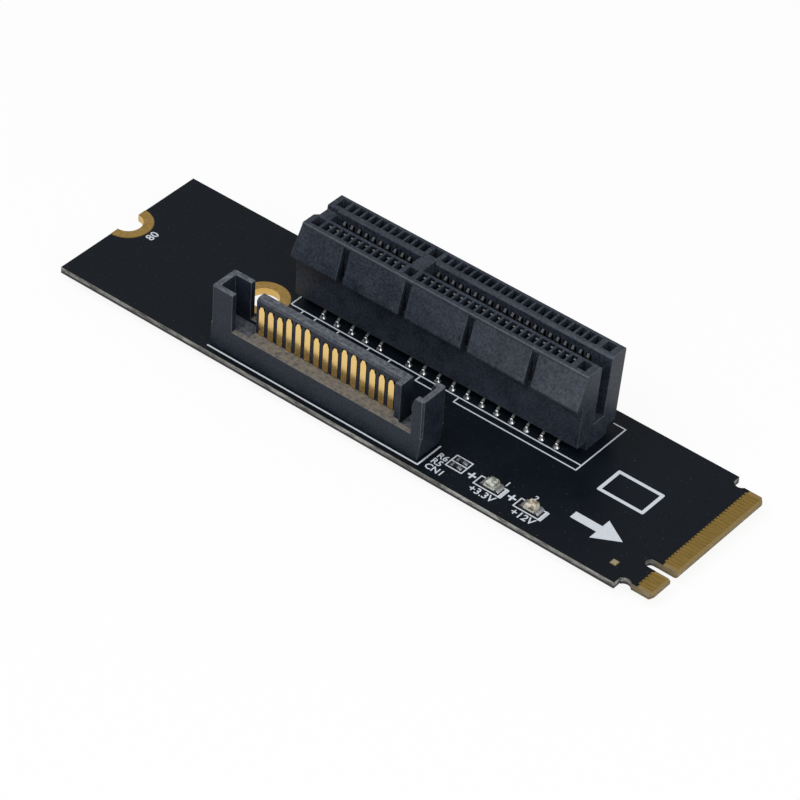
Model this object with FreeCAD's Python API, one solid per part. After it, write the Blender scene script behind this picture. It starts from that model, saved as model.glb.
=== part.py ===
import FreeCAD, Part
import math
import os

# Gumstick riser card: a thin black circuit board with edge fingers at one end and a screw notch at the
# other. It carries an open-ended expansion slot and an upright drive power plug.
# Sizes are millimetres. X runs from the screw notch to the finger tip, Y from the plug to the slot, Z up.
# The origin is under the middle of the board, at the level of the lowest soldered tails.

# Board
BOARD_LENGTH = 80.0
BOARD_WIDTH = 22.0
BOARD_THICK = 0.8
TONGUE_LENGTH = 4.0
TONGUE_WIDTH = 19.85
TONGUE_CORNER = 0.4
RELIEF_R = 0.75
RELIEF_DEPTH = 0.35
TIP_BEVEL_RUN = 0.3
TIP_BEVEL_DROP = 0.2
KEY_NOTCH_OFFSET = 6.125
KEY_NOTCH_WIDTH = 1.2
KEY_NOTCH_DEPTH = 3.5
TAIL_DROP = 1.0
TAIL_HOLE_R = 0.38
HOLE_SIDES = 4

# Copper and gold on the board
COPPER = 0.05
FINGER_PITCH = 0.5
FINGER_WIDTH = 0.35
FINGER_LENGTH = 1.75
FINGER_SETBACK = 0.32
TOP_FINGER_PLACES = 38
BOTTOM_FINGER_PLACES = 37
KEY_BARE_MARGIN = 0.15
SCREW_HOLE_R = 1.75
SCREW_PAD_R = 2.85
MID_HOLE_FROM_TIP = 60.0
FIDUCIAL_SIZE = 0.65
FIDUCIAL_FROM_TIP = 5.8
FIDUCIAL_FROM_FRONT = 2.5

# Expansion slot: place and moulding
SLOT_X = 2.38
SLOT_FROM_BACK = 5.8
SLOT_HEIGHT = 11.25
SLOT_LEFT_MARGIN = 2.5
SLOT_RIGHT_MARGIN = 3.05
SLOT_LEFT_FLARE = 0.55
SLOT_RIGHT_DRAFT = 0.45
SLOT_FRONT = 3.4
SLOT_BACK = 3.3
SLOT_STANDOFF = 1.25
SLOT_EDGE_CHAMFER = 0.1
PANEL_TOP_DROP = 0.4
PANEL_HEIGHT = 3.6
PANEL_FLARE = 1.1
PANEL_LIP = 0.35
PANEL_UNDERCUT = 0.25
PANEL_COUNT = 5
GROOVE_PITCH = 8.5
GROOVE_WIDTH = 0.95
GROOVE_DEPTH = 0.4

# Expansion slot: card slot, windows and blind cells
CARD_SLOT_WIDTH = 1.75
CARD_SLOT_DEPTH = 8.1
CARD_LEAD_IN = 0.25
CARD_END_MARGIN = 1.1
KEY_BRIDGE = 1.7
END_NOTCH_DEPTH = 0.7
END_NOTCH_CHAMFER = 0.6
LIP_THICK = 0.6
WINDOW_LENGTH = 1.35
WINDOW_WIDTH = 0.75
CELL_FOOT_INNER = 0.3
BLIND_CELL_WIDTH = 1.15
BLIND_CELL_STEP = 1.28
OPEN_END_CELL_STEP = 1.6
BLIND_CELL_DEPTH = 3.0

# Expansion slot: contacts, feet and pegs
CONTACT_PITCH = 1.0
CONTACTS_BEFORE_KEY = 11
CONTACTS_AFTER_KEY = 21
KEY_GAP = 3.0
CONTACT_WIDTH = 0.3
CONTACT_THICK = 0.18
CONTACT_PROUD = 0.155
BUMP_DEPTH = 1.45
TIP_DEPTH = 0.35
TIP_TUCK = 0.15
TIP_CLEARANCE = 0.05
OUTER_TAIL_ROW = 3.45
INNER_TAIL_ROW = 1.45
JOG_BELOW_BASE = 0.3
JOG_RISE = 0.5
FOOT_LENGTH = 1.5
FOOT_WIDTH = 3.6
PEG_R = 1.0
PEG_REACH = 0.5
PEG_CLEARANCE = 0.05

# Drive power plug
PLUG_X = -4.75
PLUG_FRONT_FROM_EDGE = 1.15
PLUG_LENGTH = 29.0
PLUG_DEPTH = 3.8
PLUG_BASE_HEIGHT = 3.1
PLUG_END_DRAFT = 0.45
TOWER_HEIGHT = 8.0
TOWER_WALL = 0.7
LEFT_TOWER_LENGTH = 2.9
RIGHT_TOWER_LENGTH = 1.5
TOWER_CHAMFER = 0.2
RIGHT_LEAD_RUN = 0.35
RIGHT_LEAD_DROP = 0.9
POCKET_DEPTH = 0.5
TONGUE_HEIGHT = 7.8
TONGUE_LEFT = 4.8
TONGUE_SPAN = 20.5
TONGUE_THICK = 1.23
TONGUE_FROM_FRONT = 1.75
TONGUE_LEAD_IN = 0.3
KEY_LEG_LENGTH = 0.85
KEY_LEG_WIDTH = 0.8
KEY_LEG_BEVEL = 0.1
PLUG_CONTACTS = 15
PLUG_PITCH = 1.27
PLUG_FIRST_CONTACT = 5.6
PLUG_CONTACT_WIDTH = 0.78
PLUG_CONTACT_THICK = 0.2
PLUG_CONTACT_PROUD = 0.06
PLUG_CONTACT_HEIGHT = 6.95
PLUG_LONG_CONTACTS = (4, 5, 6, 10, 11, 12)
PLUG_LONG_EXTRA = 0.5
PLUG_CONTACT_TAPER = 0.55
PLUG_CONTACT_POINT = 0.36
PLUG_TAIL_WIDTH = 0.45
PLUG_TAIL_SHOULDER = 0.8
PLUG_CELL_CLEARANCE = 0.03
PLUG_PEG_R = 0.7
PLUG_PEG_INSET = 1.45

# Chip parts by the front edge
RESISTOR_X = 13.02
RESISTOR_LENGTH = 1.0
RESISTOR_WIDTH = 0.5
RESISTOR_HEIGHT = 0.32
RESISTOR_CAP = 0.24
RESISTOR_CAP_WALL = 0.03
RESISTOR_FROM_FRONT = 3.17
RESISTOR_ROW_STEP = 1.01
LED_X = 17.65
LED_STEP = 5.2
LED_FROM_FRONT = 3.35
LED_LENGTH = 2.0
LED_WIDTH = 1.25
LED_BASE_HEIGHT = 0.3
LED_LENS_LENGTH = 1.3
LED_LENS_HEIGHT = 0.5
LED_LENS_TAPER = 0.12
LED_CAP = 0.3
LED_CAP_WALL = 0.04

# Levels and places that follow from the sizes above
BOARD_BOTTOM = TAIL_DROP
BOARD_TOP = BOARD_BOTTOM + BOARD_THICK
TIP_X = BOARD_LENGTH / 2
NOTCH_END_X = -BOARD_LENGTH / 2
FRONT_Y = -BOARD_WIDTH / 2
SLOT_Y = BOARD_WIDTH / 2 - SLOT_FROM_BACK
CUT = 1.0


def block(x0, x1, y0, y1, z0, z1):
    """A box between two corners."""
    return Part.makeBox(x1 - x0, y1 - y0, z1 - z0, FreeCAD.Vector(x0, y0, z0))


def slab(x, y, length, width, z0, z1):
    """A box centred over a point."""
    return block(x - length / 2, x + length / 2, y - width / 2, y + width / 2, z0, z1)


def prism(corners, along):
    """A closed outline of 3-D corners, pushed along a vector."""
    points = [FreeCAD.Vector(*c) for c in corners]
    return Part.Face(Part.makePolygon(points + points[:1])).extrude(FreeCAD.Vector(*along))


def prism_x(outline_yz, x0, x1):
    return prism([(x0, y, z) for y, z in outline_yz], (x1 - x0, 0, 0))


def prism_y(outline_xz, y0, y1):
    return prism([(x, y0, z) for x, z in outline_xz], (0, y1 - y0, 0))


def prism_z(outline_xy, z0, z1):
    return prism([(x, y, z0) for x, y in outline_xy], (0, 0, z1 - z0))


def rod(x, y, radius, z0, z1):
    """An upright cylinder."""
    return Part.makeCylinder(radius, z1 - z0, FreeCAD.Vector(x, y, z0))


def tail_hole(x, y):
    """A tail's hole through the board, drawn with flat sides because there are so many of them."""
    turns = [2 * math.pi * (k + 0.5) / HOLE_SIDES for k in range(HOLE_SIDES)]
    outline = [(x + TAIL_HOLE_R * math.cos(a), y + TAIL_HOLE_R * math.sin(a)) for a in turns]
    return prism_z(outline, BOARD_BOTTOM - CUT, BOARD_TOP + CUT)


def strip(path, thick):
    """The outline of a bent metal strip of even thickness that follows a path of points."""
    sides = ([], [])
    for i, (u, z) in enumerate(path):
        before = path[max(i - 1, 0)]
        after = path[min(i + 1, len(path) - 1)]
        normals = []
        for (u0, z0), (u1, z1) in ((before, (u, z)), ((u, z), after)):
            length = math.hypot(u1 - u0, z1 - z0)
            if length > 0:
                normals.append(((z0 - z1) / length, (u1 - u0) / length))
        (a0, b0), (a1, b1) = normals[0], normals[-1]
        reach = thick / (1 + a0 * a1 + b0 * b1)
        offset = ((a0 + a1) / 2 * reach, (b0 + b1) / 2 * reach)
        sides[0].append((u + offset[0], z + offset[1]))
        sides[1].append((u - offset[0], z - offset[1]))
    return sides[0] + sides[1][::-1]


# Where the slot's contacts stand along X
def slot_contact_places():
    span = (CONTACTS_BEFORE_KEY - 1 + CONTACTS_AFTER_KEY - 1) * CONTACT_PITCH + KEY_GAP
    first = SLOT_X - span / 2
    before = [first + i * CONTACT_PITCH for i in range(CONTACTS_BEFORE_KEY)]
    after = [before[-1] + KEY_GAP + i * CONTACT_PITCH for i in range(CONTACTS_AFTER_KEY)]
    return before, after


BEFORE_KEY, AFTER_KEY = slot_contact_places()
SLOT_PLACES = BEFORE_KEY + AFTER_KEY
SLOT_KEY_X = (BEFORE_KEY[-1] + AFTER_KEY[0]) / 2
SLOT_X0 = SLOT_PLACES[0] - SLOT_LEFT_MARGIN
SLOT_X1 = SLOT_PLACES[-1] + SLOT_RIGHT_MARGIN
SLOT_TOP = BOARD_TOP + SLOT_HEIGHT
SLOT_FLOOR = SLOT_TOP - CARD_SLOT_DEPTH
SLOT_BASE = BOARD_TOP + SLOT_STANDOFF
CARD_HALF = CARD_SLOT_WIDTH / 2
WINDOW_IN = CARD_HALF + LIP_THICK
WINDOW_OUT = WINDOW_IN + WINDOW_LENGTH
BUMP = (CARD_HALF - CONTACT_PROUD, SLOT_TOP - BUMP_DEPTH)
TIP = (WINDOW_IN + TIP_TUCK, SLOT_TOP - TIP_DEPTH)
BEAM_ROOT_U = WINDOW_OUT - CONTACT_THICK / 2
SLOT_FOOT_X1 = SLOT_X1 - SLOT_RIGHT_DRAFT
RIGHT_PEG_X = SLOT_FOOT_X1 - PEG_R


# Where the plug stands and where its contacts are
PLUG_X0 = PLUG_X - PLUG_LENGTH / 2
PLUG_X1 = PLUG_X + PLUG_LENGTH / 2
PLUG_Y0 = FRONT_Y + PLUG_FRONT_FROM_EDGE
PLUG_Y1 = PLUG_Y0 + PLUG_DEPTH
PLUG_Y = (PLUG_Y0 + PLUG_Y1) / 2
TONGUE_X0 = PLUG_X0 + TONGUE_LEFT
TONGUE_X1 = TONGUE_X0 + TONGUE_SPAN
TONGUE_Y0 = PLUG_Y0 + TONGUE_FROM_FRONT
PLUG_PLACES = [PLUG_X0 + PLUG_FIRST_CONTACT + i * PLUG_PITCH for i in range(PLUG_CONTACTS)]
PLUG_CONTACT_Y = TONGUE_Y0 - PLUG_CONTACT_PROUD + PLUG_CONTACT_THICK / 2
PLUG_PEG_PLACES = [PLUG_X0 + PLUG_PEG_INSET, PLUG_X1 - PLUG_PEG_INSET]
MID_HOLE_X = TIP_X - MID_HOLE_FROM_TIP


def tail_places():
    """Every tail's place on the board: the slot's four staggered rows and the plug's one row."""
    places = []
    for i, x in enumerate(SLOT_PLACES):
        for side in (-1, 1):
            row = OUTER_TAIL_ROW if is_outer(i, side) else INNER_TAIL_ROW
            places.append((x, SLOT_Y + side * row))
    return places + [(x, PLUG_CONTACT_Y) for x in PLUG_PLACES]


def is_outer(index, side):
    """Neighbours in a row take turns between the outer and the inner tail row."""
    return (index % 2 == 1) == (side < 0)


def board_outline():
    """The plan of the board: a strip with a narrower tongue and a round relief beside each shoulder."""
    shoulder_x = TIP_X - TONGUE_LENGTH
    half = BOARD_WIDTH / 2
    tongue = TONGUE_WIDTH / 2
    body = block(NOTCH_END_X, shoulder_x, -half, half, BOARD_BOTTOM, BOARD_TOP)
    plan = [(shoulder_x - CUT, -tongue), (TIP_X - TONGUE_CORNER, -tongue), (TIP_X, TONGUE_CORNER - tongue),
            (TIP_X, tongue - TONGUE_CORNER), (TIP_X - TONGUE_CORNER, tongue), (shoulder_x - CUT, tongue)]
    board = body.fuse(prism_z(plan, BOARD_BOTTOM, BOARD_TOP))
    for side in (-1, 1):
        board = board.cut(rod(shoulder_x + RELIEF_R, side * (tongue - RELIEF_DEPTH + RELIEF_R), RELIEF_R,
                              BOARD_BOTTOM - CUT, BOARD_TOP + CUT))
    return board.removeSplitter()


def circuit_board():
    """The laminate with its screw notch, key notch, bevelled tip and every drilled hole."""
    board = board_outline()
    low, high = BOARD_BOTTOM - CUT, BOARD_TOP + CUT
    cuts = [rod(x, 0, SCREW_HOLE_R, low, high) for x in (NOTCH_END_X, MID_HOLE_X)]
    notch_r = KEY_NOTCH_WIDTH / 2
    notch_end = TIP_X - KEY_NOTCH_DEPTH + notch_r
    cuts.append(rod(notch_end, -KEY_NOTCH_OFFSET, notch_r, low, high))
    cuts.append(block(notch_end, TIP_X + CUT, -KEY_NOTCH_OFFSET - notch_r, -KEY_NOTCH_OFFSET + notch_r,
                      low, high))
    for level, drop in ((BOARD_TOP, -TIP_BEVEL_DROP), (BOARD_BOTTOM, TIP_BEVEL_DROP)):
        bevel = [(TIP_X - TIP_BEVEL_RUN, level), (TIP_X, level + drop), (TIP_X + CUT, level + drop),
                 (TIP_X + CUT, level - drop), (TIP_X - TIP_BEVEL_RUN, level - drop)]
        cuts.append(prism_y(bevel, FRONT_Y - CUT, CUT - FRONT_Y))
    for x in (SLOT_KEY_X, RIGHT_PEG_X):
        cuts.append(rod(x, SLOT_Y, PEG_R + PEG_CLEARANCE, low, high))
    for x in PLUG_PEG_PLACES:
        cuts.append(rod(x, PLUG_Y, PLUG_PEG_R + PEG_CLEARANCE, low, high))
    cuts += [tail_hole(x, y) for x, y in tail_places()]
    return board.cut(cuts)


def edge_fingers(places, z0):
    """One row of thin gold pads at the tip, left out round the key notch."""
    x = TIP_X - FINGER_SETBACK - FINGER_LENGTH / 2
    bare = (KEY_NOTCH_WIDTH + FINGER_WIDTH) / 2 + KEY_BARE_MARGIN
    row = [((places - 1) / 2 - i) * FINGER_PITCH for i in range(places)]
    return Part.makeCompound([slab(x, y, FINGER_LENGTH, FINGER_WIDTH, z0, z0 + COPPER)
                              for y in row if abs(y + KEY_NOTCH_OFFSET) > bare])


def screw_pads(x):
    """The bare gold ring round a screw hole, one on each face of the board."""
    rings = []
    for z0 in (BOARD_BOTTOM - COPPER, BOARD_TOP):
        z1 = z0 + COPPER
        rings.append(rod(x, 0, SCREW_PAD_R, z0, z1).cut(rod(x, 0, SCREW_HOLE_R, z0 - CUT, z1 + CUT)))
    return rings


def end_notch_pads():
    """The same rings, cut in half by the board's end."""
    reach = SCREW_PAD_R + CUT
    keep = block(NOTCH_END_X, NOTCH_END_X + reach, -reach, reach, BOARD_BOTTOM - CUT, BOARD_TOP + CUT)
    return Part.makeCompound([ring.common(keep) for ring in screw_pads(NOTCH_END_X)])


def fiducial_pad():
    """The small bare square near the fingers that the placing machine sights on."""
    x = TIP_X - FIDUCIAL_FROM_TIP
    y = FRONT_Y + FIDUCIAL_FROM_FRONT
    return slab(x, y, FIDUCIAL_SIZE, FIDUCIAL_SIZE, BOARD_TOP, BOARD_TOP + COPPER)


def slot_body():
    """The moulded bar: a straight wall at the back, flared panels with grooves between them in front."""
    front, back = SLOT_Y - SLOT_FRONT, SLOT_Y + SLOT_BACK
    edge = SLOT_EDGE_CHAMFER
    section = [(front, SLOT_BASE), (back, SLOT_BASE), (back, SLOT_TOP - edge), (back - edge, SLOT_TOP),
               (front + edge, SLOT_TOP), (front, SLOT_TOP - edge)]
    x0 = SLOT_X0 - SLOT_LEFT_FLARE
    body = prism_x(section, x0, SLOT_X1)
    panel_top = SLOT_TOP - PANEL_TOP_DROP
    panel_low = panel_top - PANEL_HEIGHT
    flare = front - PANEL_FLARE
    panel_foot = panel_low - PANEL_LIP - PANEL_UNDERCUT
    panel = [(front + edge, panel_top), (front, panel_top), (flare, panel_low),
             (flare, panel_low - PANEL_LIP), (front, panel_foot), (front + edge, panel_foot)]
    middle = (x0 + SLOT_X1) / 2
    grooves = [middle + (k - (PANEL_COUNT - 2) / 2) * GROOVE_PITCH for k in range(PANEL_COUNT - 1)]
    starts = [x0] + [x + GROOVE_WIDTH / 2 for x in grooves]
    ends = [x - GROOVE_WIDTH / 2 for x in grooves] + [SLOT_X1]
    body = body.fuse([prism_x(panel, a, b) for a, b in zip(starts, ends)])
    body = body.cut([block(x - GROOVE_WIDTH / 2, x + GROOVE_WIDTH / 2, flare - CUT, front + GROOVE_DEPTH,
                           panel_foot, panel_top) for x in grooves])
    side_view = [(x0, SLOT_BASE), (SLOT_FOOT_X1, SLOT_BASE), (SLOT_X1, SLOT_TOP), (SLOT_X0, SLOT_TOP),
                 (x0, panel_low)]
    return body.common(prism_y(side_view, flare - CUT, back + CUT))


def lip_under(u):
    """The level of the lip's sloped underside, which runs beside the contact's tip at an even clearance."""
    run, rise = TIP[0] - BUMP[0], TIP[1] - BUMP[1]
    gap = CONTACT_THICK / 2 + TIP_CLEARANCE
    return BUMP[1] + (u - BUMP[0]) * rise / run + gap * math.hypot(run, rise) / run


def contact_cell(x, side):
    """The cavity of one contact: a window in the top, an opening into the card slot, a way out below."""
    foot = WINDOW_IN - CELL_FOOT_INNER
    middle = CARD_HALF / 2
    outline = [(WINDOW_OUT, SLOT_BASE - CUT), (WINDOW_OUT, SLOT_TOP + CUT), (WINDOW_IN, SLOT_TOP + CUT),
               (WINDOW_IN, lip_under(WINDOW_IN)), (middle, lip_under(middle)), (middle, SLOT_FLOOR),
               (CARD_HALF, SLOT_FLOOR), (foot, SLOT_BASE), (foot, SLOT_BASE - CUT)]
    return prism_x([(SLOT_Y + side * u, z) for u, z in outline], x - WINDOW_WIDTH / 2, x + WINDOW_WIDTH / 2)


def card_slot_cut(x0, x1):
    """A length of the card slot, with lead-in bevels at its mouth."""
    mouth = CARD_HALF + CARD_LEAD_IN
    outline = [(-CARD_HALF, SLOT_FLOOR), (CARD_HALF, SLOT_FLOOR), (CARD_HALF, SLOT_TOP - CARD_LEAD_IN),
               (mouth, SLOT_TOP), (mouth, SLOT_TOP + CUT), (-mouth, SLOT_TOP + CUT), (-mouth, SLOT_TOP),
               (-CARD_HALF, SLOT_TOP - CARD_LEAD_IN)]
    return prism_x([(SLOT_Y + u, z) for u, z in outline], x0, x1)


def end_notch_cut(x1):
    """The shallow notch across the closed end, bevelled at the front wall where a card's hook comes in."""
    front = SLOT_Y - CARD_HALF
    back = SLOT_Y + CARD_HALF
    bevel = END_NOTCH_CHAMFER
    plan = [(SLOT_X0 - CUT, front - bevel), (SLOT_X0, front - bevel), (SLOT_X0 + bevel, front), (x1, front),
            (x1, back), (SLOT_X0 - CUT, back)]
    return prism_z(plan, SLOT_TOP - END_NOTCH_DEPTH, SLOT_TOP + CUT)


def slot_housing():
    """The expansion slot's moulding: card slot open at the far end, windows, blind cells, feet and pegs."""
    body = slot_body()
    left_end = SLOT_PLACES[0] - CARD_END_MARGIN
    cuts = [card_slot_cut(left_end, SLOT_KEY_X - KEY_BRIDGE / 2),
            card_slot_cut(SLOT_KEY_X + KEY_BRIDGE / 2, SLOT_X1 + CUT), end_notch_cut(left_end)]
    blind = [SLOT_PLACES[0] - BLIND_CELL_STEP, SLOT_KEY_X, SLOT_PLACES[-1] + OPEN_END_CELL_STEP]
    for side in (-1, 1):
        cuts += [contact_cell(x, side) for x in SLOT_PLACES]
        y = SLOT_Y + side * (WINDOW_IN + WINDOW_OUT) / 2
        cuts += [slab(x, y, BLIND_CELL_WIDTH, WINDOW_LENGTH, SLOT_TOP - BLIND_CELL_DEPTH, SLOT_TOP + CUT)
                 for x in blind]
    body = body.cut(cuts)
    left_foot = SLOT_X0 - SLOT_LEFT_FLARE + FOOT_LENGTH / 2
    right_foot = SLOT_FOOT_X1 - FOOT_LENGTH / 2
    feet = [slab(x, SLOT_Y, FOOT_LENGTH, FOOT_WIDTH, BOARD_TOP, SLOT_BASE)
            for x in (left_foot, SLOT_KEY_X, right_foot)]
    feet += [rod(x, SLOT_Y, PEG_R, BOARD_BOTTOM - PEG_REACH, SLOT_BASE) for x in (SLOT_KEY_X, RIGHT_PEG_X)]
    return body.fuse(feet).removeSplitter()


def slot_contacts(side, outer):
    """Every second contact of one side: a tail, a jog, a spring beam, a bump and a tip under the lip."""
    tail = OUTER_TAIL_ROW if outer else INNER_TAIL_ROW
    jog_top = SLOT_BASE - JOG_BELOW_BASE
    path = [(tail, 0.0), (tail, jog_top - JOG_RISE), (BEAM_ROOT_U, jog_top), BUMP, TIP]
    outline = [(SLOT_Y + side * u, z) for u, z in strip(path, CONTACT_THICK)]
    half = CONTACT_WIDTH / 2
    places = [x for i, x in enumerate(SLOT_PLACES) if is_outer(i, side) == outer]
    return Part.makeCompound([prism_x(outline, x - half, x + half) for x in places])


def tower(outer_x, length, towards):
    """One guide tower of the plug: a channel, bevelled outside, whose mouth faces the tongue."""
    z0, z1 = BOARD_TOP + PLUG_BASE_HEIGHT, BOARD_TOP + TOWER_HEIGHT
    bevel_x = outer_x + towards * TOWER_CHAMFER
    mouth_x = outer_x + towards * length
    plan = [(outer_x, PLUG_Y0 + TOWER_CHAMFER), (bevel_x, PLUG_Y0), (mouth_x, PLUG_Y0),
            (mouth_x, PLUG_Y1), (bevel_x, PLUG_Y1), (outer_x, PLUG_Y1 - TOWER_CHAMFER)]
    hollow_x = outer_x + towards * (TOWER_WALL + length)
    hollow = slab(hollow_x, PLUG_Y, 2 * length, PLUG_DEPTH - 2 * TOWER_WALL, z0, z1 + CUT)
    return prism_z(plan, z0, z1).cut(hollow)


def blade_tops():
    """The level of each blade's head: the early-mating ones stand a little higher than the rest."""
    top = BOARD_TOP + PLUG_CONTACT_HEIGHT
    numbers = range(1, PLUG_CONTACTS + 1)
    return [top + PLUG_LONG_EXTRA if n in PLUG_LONG_CONTACTS else top for n in numbers]


def plug_tongue(z0, top):
    """The blade carrier, bevelled in front, with the key leg at its right end."""
    y0, y1 = TONGUE_Y0, TONGUE_Y0 + TONGUE_THICK
    section = [(y0, z0), (y1, z0), (y1, top), (y0 + TONGUE_LEAD_IN, top), (y0, top - TONGUE_LEAD_IN)]
    leg_y = y0 - KEY_LEG_LENGTH
    leg = [(leg_y, z0), (y1, z0), (y1, top), (leg_y + KEY_LEG_BEVEL, top), (leg_y, top - KEY_LEG_BEVEL)]
    return [prism_x(section, TONGUE_X0, TONGUE_X1), prism_x(leg, TONGUE_X1 - KEY_LEG_WIDTH, TONGUE_X1)]


def plug_cuts(z0, z1):
    """A slit for each blade, a sunk pocket beside each end of the tongue and the right tower's lead-in."""
    gap = PLUG_CELL_CLEARANCE
    cuts = [slab(x, PLUG_CONTACT_Y, PLUG_CONTACT_WIDTH + 2 * gap, PLUG_CONTACT_THICK + 2 * gap,
                 z0 - CUT, top + gap) for x, top in zip(PLUG_PLACES, blade_tops())]
    for x0, x1 in ((PLUG_X0 + TOWER_WALL, TONGUE_X0), (TONGUE_X1, PLUG_X1 - TOWER_WALL)):
        cuts.append(block(x0, x1, PLUG_Y0 + TOWER_WALL, PLUG_Y1 - TOWER_WALL, z1 - POCKET_DEPTH, z1 + CUT))
    mouth = PLUG_X1 - RIGHT_TOWER_LENGTH
    top = BOARD_TOP + TOWER_HEIGHT
    low, far = top - RIGHT_LEAD_DROP, mouth + RIGHT_LEAD_RUN
    lead = [(mouth, low), (far, top), (far, top + CUT), (mouth - CUT, top + CUT), (mouth - CUT, low)]
    cuts.append(prism_y(lead, PLUG_Y0 - CUT, PLUG_Y1 + CUT))
    return cuts


def plug_housing():
    """The power plug's moulding: a base, a tongue with a key leg, two guide towers and two pegs."""
    z0, z1 = BOARD_TOP, BOARD_TOP + PLUG_BASE_HEIGHT
    side_view = [(PLUG_X0, z0), (PLUG_X1 - PLUG_END_DRAFT, z0), (PLUG_X1, z1), (PLUG_X0, z1)]
    base = prism_y(side_view, PLUG_Y0, PLUG_Y1)
    parts = plug_tongue(z1, BOARD_TOP + TONGUE_HEIGHT)
    parts += [tower(PLUG_X0, LEFT_TOWER_LENGTH, 1), tower(PLUG_X1, RIGHT_TOWER_LENGTH, -1)]
    parts += [rod(x, PLUG_Y, PLUG_PEG_R, BOARD_BOTTOM - PEG_REACH, z0 + CUT) for x in PLUG_PEG_PLACES]
    return base.fuse(parts).removeSplitter().cut(plug_cuts(z0, z1))


def plug_contacts():
    """The plug's gold blades: a tapered head on the tongue, a broad shank and a narrow tail."""
    shoulder = BOARD_TOP + PLUG_TAIL_SHOULDER
    wide, point, tail = PLUG_CONTACT_WIDTH / 2, PLUG_CONTACT_POINT / 2, PLUG_TAIL_WIDTH / 2
    y0 = PLUG_CONTACT_Y - PLUG_CONTACT_THICK / 2
    blades = []
    for x, top in zip(PLUG_PLACES, blade_tops()):
        neck = top - PLUG_CONTACT_TAPER
        right = [(tail, 0.0), (tail, shoulder), (wide, shoulder), (wide, neck), (point, top)]
        left = [(-u, z) for u, z in reversed(right)]
        blades.append(prism_y([(x + u, z) for u, z in right + left], y0, y0 + PLUG_CONTACT_THICK))
    return Part.makeCompound(blades)


def end_caps(body, x, y, length, width, height, cap):
    """The metal wrapped round both ends of a chip part's body."""
    caps = []
    for side in (-1, 1):
        shell = slab(x + side * (length - cap) / 2, y, cap, width, BOARD_TOP, BOARD_TOP + height)
        caps.append(shell.cut(body))
    return Part.makeCompound(caps)


def resistor(y):
    """A chip resistor: a ceramic block and the two tinned caps on its ends."""
    wall = RESISTOR_CAP_WALL
    body = slab(RESISTOR_X, y, RESISTOR_LENGTH - 2 * wall, RESISTOR_WIDTH - 2 * wall,
                BOARD_TOP + wall, BOARD_TOP + RESISTOR_HEIGHT - wall)
    return body, end_caps(body, RESISTOR_X, y, RESISTOR_LENGTH, RESISTOR_WIDTH, RESISTOR_HEIGHT, RESISTOR_CAP)


def indicator(x):
    """A chip indicator lamp: a white base, a clear tapered lens on it and a metal end on each side."""
    y = FRONT_Y + LED_FROM_FRONT
    wall = LED_CAP_WALL
    width = LED_WIDTH - 2 * wall
    base_top = BOARD_TOP + LED_BASE_HEIGHT - wall
    base = slab(x, y, LED_LENGTH - 2 * wall, width, BOARD_TOP + wall, base_top)
    foot = LED_LENS_LENGTH / 2
    crown = foot - LED_LENS_TAPER
    lens_top = base_top + LED_LENS_HEIGHT
    lens = prism_y([(x - foot, base_top), (x + foot, base_top), (x + crown, lens_top), (x - crown, lens_top)],
                   y - width / 2, y + width / 2)
    return base, lens, end_caps(base, x, y, LED_LENGTH, LED_WIDTH, LED_BASE_HEIGHT, LED_CAP)


def build():
    """Every sub-part by the name of its node."""
    nodes = {
        "circuit_board": circuit_board(),
        "edge_fingers_top": edge_fingers(TOP_FINGER_PLACES, BOARD_TOP),
        "edge_fingers_bottom": edge_fingers(BOTTOM_FINGER_PLACES, BOARD_BOTTOM - COPPER),
        "end_notch_pads": end_notch_pads(),
        "mid_hole_pads": Part.makeCompound(screw_pads(MID_HOLE_X)),
        "fiducial_pad": fiducial_pad(),
        "slot_housing": slot_housing(),
        "plug_housing": plug_housing(),
        "plug_contacts": plug_contacts(),
    }
    for side, side_name in ((-1, "front"), (1, "back")):
        nodes[f"slot_contacts_{side_name}_outer"] = slot_contacts(side, True)
        nodes[f"slot_contacts_{side_name}_inner"] = slot_contacts(side, False)
    for k in range(2):
        body, caps = resistor(FRONT_Y + RESISTOR_FROM_FRONT + k * RESISTOR_ROW_STEP)
        nodes[f"resistor_{k + 1}_body"] = body
        nodes[f"resistor_{k + 1}_caps"] = caps
        base, lens, ends = indicator(LED_X + k * LED_STEP)
        nodes[f"indicator_{k + 1}_base"] = base
        nodes[f"indicator_{k + 1}_lens"] = lens
        nodes[f"indicator_{k + 1}_ends"] = ends
    return nodes


os.makedirs("parts", exist_ok=True)
for node_name, node_shape in build().items():
    node_shape.exportStep(f"parts/{node_name}.step")
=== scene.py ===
import bpy
import math
from mathutils import Matrix, Quaternion, Vector


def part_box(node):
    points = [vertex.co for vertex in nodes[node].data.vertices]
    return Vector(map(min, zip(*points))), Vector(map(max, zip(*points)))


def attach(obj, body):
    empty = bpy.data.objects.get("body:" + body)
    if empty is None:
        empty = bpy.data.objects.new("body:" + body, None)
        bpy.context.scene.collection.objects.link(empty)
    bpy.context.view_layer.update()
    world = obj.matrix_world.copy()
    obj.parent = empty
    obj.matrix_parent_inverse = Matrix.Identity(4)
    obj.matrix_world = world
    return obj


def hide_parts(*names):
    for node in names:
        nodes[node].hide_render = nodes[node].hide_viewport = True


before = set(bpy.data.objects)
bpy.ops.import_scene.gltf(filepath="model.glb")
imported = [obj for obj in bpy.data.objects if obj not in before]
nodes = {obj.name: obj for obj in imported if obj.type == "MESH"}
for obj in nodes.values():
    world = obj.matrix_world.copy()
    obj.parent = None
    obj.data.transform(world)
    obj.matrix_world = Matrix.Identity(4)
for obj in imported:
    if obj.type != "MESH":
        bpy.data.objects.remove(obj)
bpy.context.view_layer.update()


# The bare board. It is glass cloth set in epoxy resin, pressed flat and routed to its outline.
# The routed edge is grey and streaked by the torn cloth, painted dark at its foot as shadow, and a bare face
# is tan.
MM = 0.001
PER_MM = 1000.0
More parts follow.
